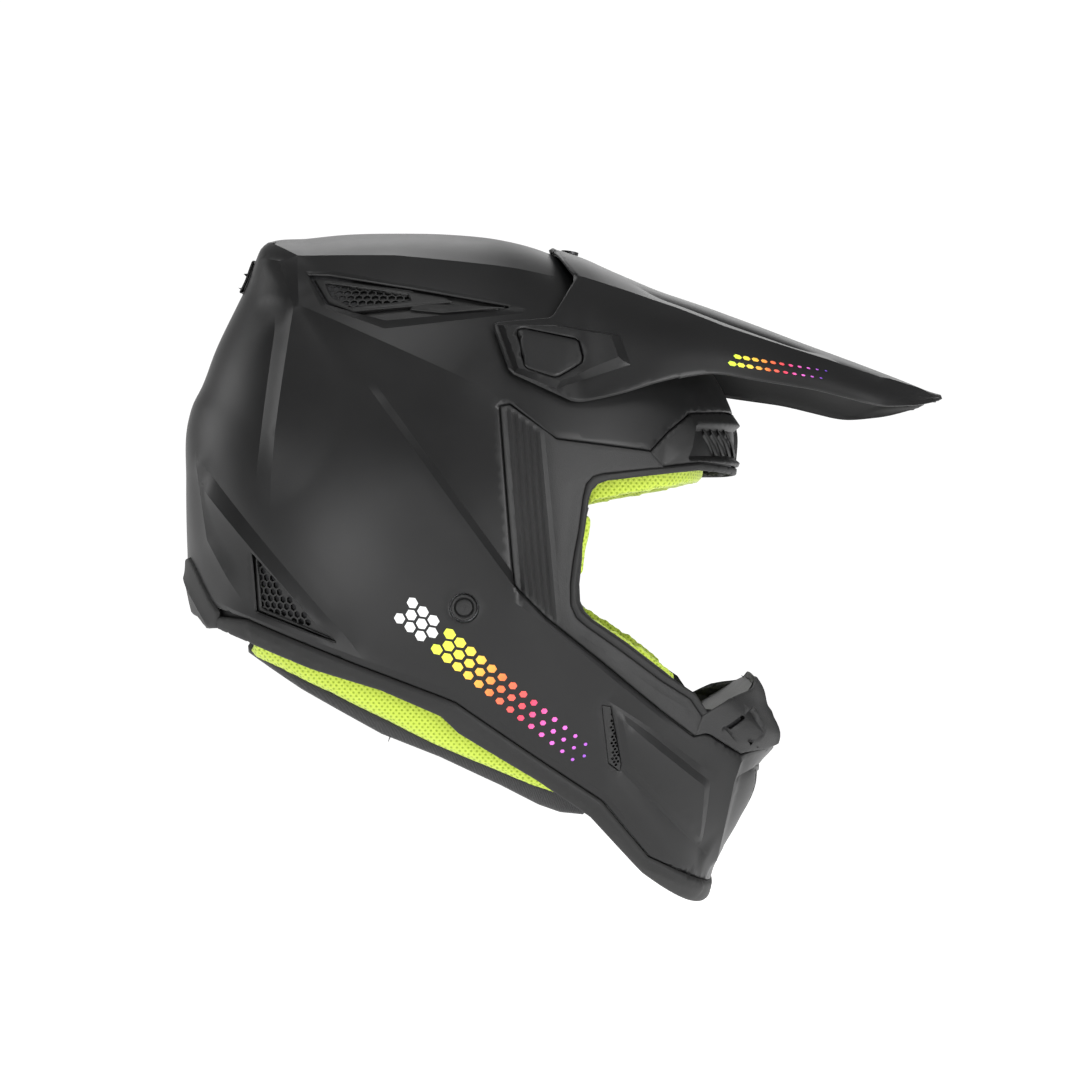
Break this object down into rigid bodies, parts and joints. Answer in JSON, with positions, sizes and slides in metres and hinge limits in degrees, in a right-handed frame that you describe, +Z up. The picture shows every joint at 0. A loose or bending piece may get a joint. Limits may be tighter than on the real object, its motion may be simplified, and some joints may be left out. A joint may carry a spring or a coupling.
{
  "type": "motocross helmet",
  "caption": "Full-face off-road helmet with an adjustable peak, open eyeport, vented chin bar, removable padding and a double-ring chin strap.",
  "frame": {"origin": "centre of the head cavity, on the plane of symmetry", "axes": "+X the way the wearer faces, +Y to the wearer's left, +Z up in the wearing attitude"},
  "size_m": [0.4303, 0.2462, 0.3826],
  "materials": {
    "shell_paint": "matte black painted moulded shell",
    "trim_plastic": "grained matte black moulded plastic",
    "vent_mesh": "black honeycomb mesh",
    "rubber_trim": "black rubber edge trim",
    "peak_plastic": "matte black flexible moulded plastic",
    "foam_liner": "black expanded foam",
    "pad_fabric": "bright yellow-green spacer mesh over foam",
    "webbing": "black woven webbing",
    "bare_steel": "plated steel",
    "dark_screw": "black nylon"
  },
  "bodies": {
    "root": {"base_gasket": "rubber_trim", "brow_pad": "pad_fabric", "brow_vent_housing": "trim_plastic", "brow_vent_louvres": "trim_plastic", "cheek_base_left": "foam_liner", "cheek_base_right": "foam_liner", "cheek_pad_left": "pad_fabric", "cheek_pad_right": "pad_fabric", "chin_grille": "vent_mesh", "chin_side_grille_left": "vent_mesh", "chin_side_grille_right": "vent_mesh", "chin_strap_left": "webbing", "chin_strap_right": "webbing", "crown_pad": "pad_fabric", "eps_chin_bar": "foam_liner", "eps_liner": "foam_liner", "eyeport_gasket": "rubber_trim", "inner_d_ring": "bare_steel", "lower_vent_mesh_left": "vent_mesh", "lower_vent_mesh_right": "vent_mesh", "mouth_vent_insert": "trim_plastic", "mouthpiece": "trim_plastic", "neck_roll": "pad_fabric", "outer_shell": "shell_paint", "peak_centre_nut": "bare_steel", "peak_centre_screw": "dark_screw", "peak_nut_left": "bare_steel", "peak_nut_right": "bare_steel", "peak_screw_left": "dark_screw", "peak_screw_right": "dark_screw", "rear_collar": "rubber_trim", "rear_exhaust_vent": "trim_plastic", "rivet_cap_left": "dark_screw", "rivet_cap_right": "dark_screw", "side_trim_left": "trim_plastic", "side_trim_right": "trim_plastic", "strap_anchor_plate_left": "bare_steel", "strap_anchor_plate_right": "bare_steel", "strap_rivet_left": "bare_steel", "strap_rivet_right": "bare_steel", "strap_snap": "dark_screw", "upper_vent_frame_left": "trim_plastic", "upper_vent_frame_right": "trim_plastic", "upper_vent_mesh_left": "vent_mesh", "upper_vent_mesh_right": "vent_mesh"},
    "peak": {"peak_shell": "peak_plastic", "peak_cap_left": "trim_plastic", "peak_cap_right": "trim_plastic"},
    "outer_ring": {"outer_d_ring": "bare_steel"}
  },
  "joints": [
    {"name": "peak_tilt", "type": "hinge", "parent": "root", "child": "peak", "pos_m": [0.03, 0, 0.11], "axis": [0, -1, 0], "range_deg": [-3, 3]},
    {"name": "outer_ring_swing", "type": "hinge", "parent": "root", "child": "outer_ring", "pos_m": [-0.017, 0.052, -0.102], "axis": [1, 0, 0], "range_deg": [0, 60]}
  ]
}
